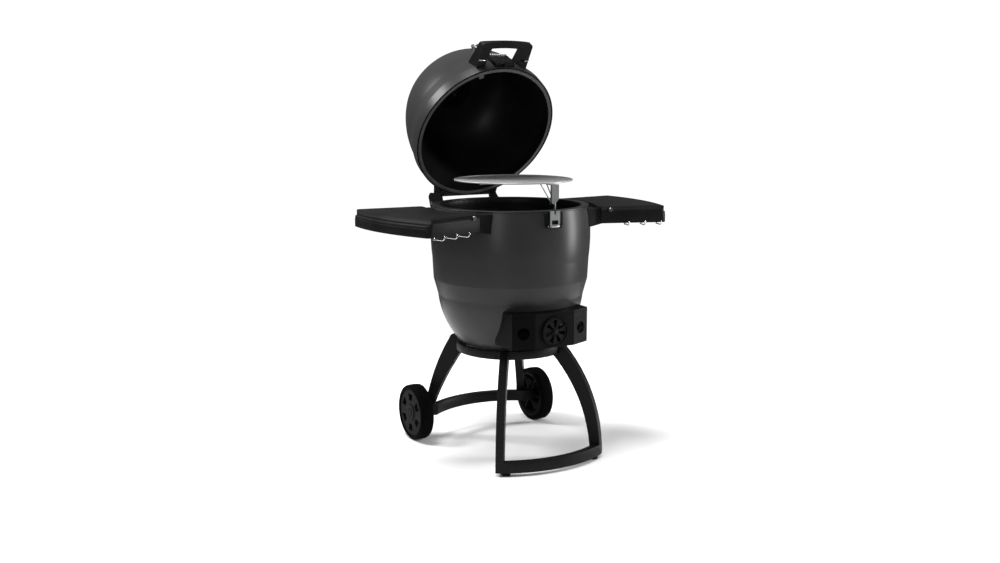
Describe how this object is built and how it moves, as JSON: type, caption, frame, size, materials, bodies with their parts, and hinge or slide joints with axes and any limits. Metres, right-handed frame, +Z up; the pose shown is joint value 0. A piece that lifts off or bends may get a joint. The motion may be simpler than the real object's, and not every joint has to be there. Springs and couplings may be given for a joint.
{
  "type": "barrel charcoal grill",
  "caption": "Barrel-shaped insulated charcoal grill on a wheeled stand, with a hinged domed lid, folding side shelves, a swinging upper rack and a pull-out ash drawer.",
  "frame": {"origin": "on the floor, under the middle of the grill's box with the lid open", "axes": "+Z up, the damper and the latch face -Y, the two wheels are at +Y and the shelves at -X and +X"},
  "size_m": [1.0612, 0.8285, 1.4246],
  "materials": {
    "enamel": "satin charcoal metallic enamel, baked on steel",
    "enamel_dark": "black enamel",
    "insulation": "pressed mineral wool",
    "rim": "dark satin enamel",
    "frame_paint": "satin black powder coat",
    "resin": "moulded black resin with a fine grain",
    "hub_plastic": "moulded dark grey plastic",
    "tyre": "black hard rubber",
    "rubber": "black rubber",
    "stainless": "brushed stainless steel",
    "chrome": "polished chrome plate",
    "zinc": "zinc plated steel",
    "cast_iron": "seasoned cast iron",
    "flange": "light grey satin metal",
    "gasket": "woven black gasket rope",
    "pan_steel": "galvanised sheet steel",
    "bezel": "stainless steel bezel and white dial",
    "needle": "red paint",
    "glass": "clear glass",
    "cast_black": "black painted aluminium casting"
  },
  "bodies": {
    "stand": {"body_shell": "enamel", "body_insulation": "insulation", "body_liner": "enamel_dark", "body_rim": "rim", "stand_ring": "frame_paint", "front_leg_left": "frame_paint", "front_leg_right": "frame_paint", "rear_leg_left": "frame_paint", "rear_leg_right": "frame_paint", "front_bar": "frame_paint", "rear_bar": "frame_paint", "feet": "rubber", "axle_bolts": "zinc", "frame_bolts": "zinc", "shelf_bracket_left": "resin", "shelf_bracket_right": "resin", "latch_base": "resin", "latch_pin": "stainless", "liner_brackets": "enamel_dark", "charcoal_grate": "cast_iron", "cooking_grid": "cast_iron", "rack_socket": "zinc", "hinge_bracket": "frame_paint", "hinge_rods": "chrome"},
    "lid": {"lid_shell": "enamel", "lid_insulation": "insulation", "lid_liner": "enamel_dark", "lid_flange": "flange", "lid_gasket": "gasket", "lid_handle": "resin", "handle_rod": "chrome", "lid_striker": "cast_black", "lid_hinge_arm": "frame_paint", "thermometer_case": "bezel", "thermometer_glass": "glass", "vent_base": "cast_black"},
    "shelf_l": {"shelf_left": "resin", "hooks_left": "chrome", "shelf_pins_left": "chrome"},
    "shelf_r": {"shelf_right": "resin", "hooks_right": "chrome", "shelf_pins_right": "chrome"},
    "latch": {"latch_lever": "stainless"},
    "ash_drawer": {"damper_housing": "resin", "ash_pan": "pan_steel", "damper_rivet": "zinc"},
    "damper": {"damper_disc": "cast_black"},
    "knob_l": {"clamp_knob_left": "hub_plastic"},
    "knob_r": {"clamp_knob_right": "hub_plastic"},
    "wheel_l": {"tyre_left": "tyre", "wheel_hub_left": "hub_plastic", "hub_cap_left": "hub_plastic"},
    "wheel_r": {"tyre_right": "tyre", "wheel_hub_right": "hub_plastic", "hub_cap_right": "hub_plastic"},
    "rack": {"rack_grid": "chrome", "rack_braces": "chrome", "rack_post": "stainless"},
    "needle": {"thermometer_needle": "needle"},
    "vent": {"vent_cap": "cast_black"}
  },
  "joints": [
    {"name": "lid_hinge", "type": "hinge", "parent": "stand", "child": "lid", "pos_m": [0, 0.2106, 0.8393], "axis": [-1, 0, 0], "range_deg": [-59, 0]},
    {"name": "rack_swing", "type": "hinge", "parent": "stand", "child": "rack", "pos_m": [0.033, -0.311, 0.9], "axis": [0, 0, -1], "range_deg": [0, 100]},
    {"name": "shelf_fold_left", "type": "hinge", "parent": "stand", "child": "shelf_l", "pos_m": [-0.266, -0.298, 0.856], "axis": [0.0961, -0.9954, 0], "range_deg": [0, 80]},
    {"name": "shelf_fold_right", "type": "hinge", "parent": "stand", "child": "shelf_r", "pos_m": [0.266, -0.298, 0.856], "axis": [0.0961, 0.9954, 0], "range_deg": [0, 80]},
    {"name": "latch_turn", "type": "hinge", "parent": "stand", "child": "latch", "pos_m": [0, -0.364, 0.821], "axis": [1, 0, 0], "range_deg": [0, 100]},
    {"name": "ash_drawer_slide", "type": "slide", "parent": "stand", "child": "ash_drawer", "axis": [0, -1, 0], "range_m": [0, 0.15]},
    {"name": "damper_turn", "type": "hinge", "parent": "ash_drawer", "child": "damper", "pos_m": [0, -0.369, 0.472], "axis": [0, -1, 0], "range_deg": [0, 25.7]},
    {"name": "clamp_left", "type": "hinge", "parent": "ash_drawer", "child": "knob_l", "pos_m": [-0.112, -0.3545, 0.472], "axis": [-0.3736, -0.9276, 0], "range_deg": [0, 90]},
    {"name": "clamp_right", "type": "hinge", "parent": "ash_drawer", "child": "knob_r", "pos_m": [0.112, -0.3545, 0.472], "axis": [0.3736, -0.9276, 0], "range_deg": [0, 90]},
    {"name": "wheel_left", "type": "hinge", "parent": "stand", "child": "wheel_l", "pos_m": [-0.2545, 0.165, 0.1015], "axis": [1, 0, 0], "continuous": true},
    {"name": "wheel_right", "type": "hinge", "parent": "stand", "child": "wheel_r", "pos_m": [0.2545, 0.165, 0.1015], "axis": [1, 0, 0], "continuous": true},
    {"name": "needle_turn", "type": "hinge", "parent": "lid", "child": "needle", "pos_m": [0, 0.12428, 1.39595], "axis": [0, -0.225, 0.9744], "range_deg": [0, 250]},
    {"name": "vent_turn", "type": "hinge", "parent": "lid", "child": "vent", "pos_m": [0, 0.36497, 1.27108], "axis": [0, 0.8572, 0.515], "range_deg": [0, 30]}
  ]
}
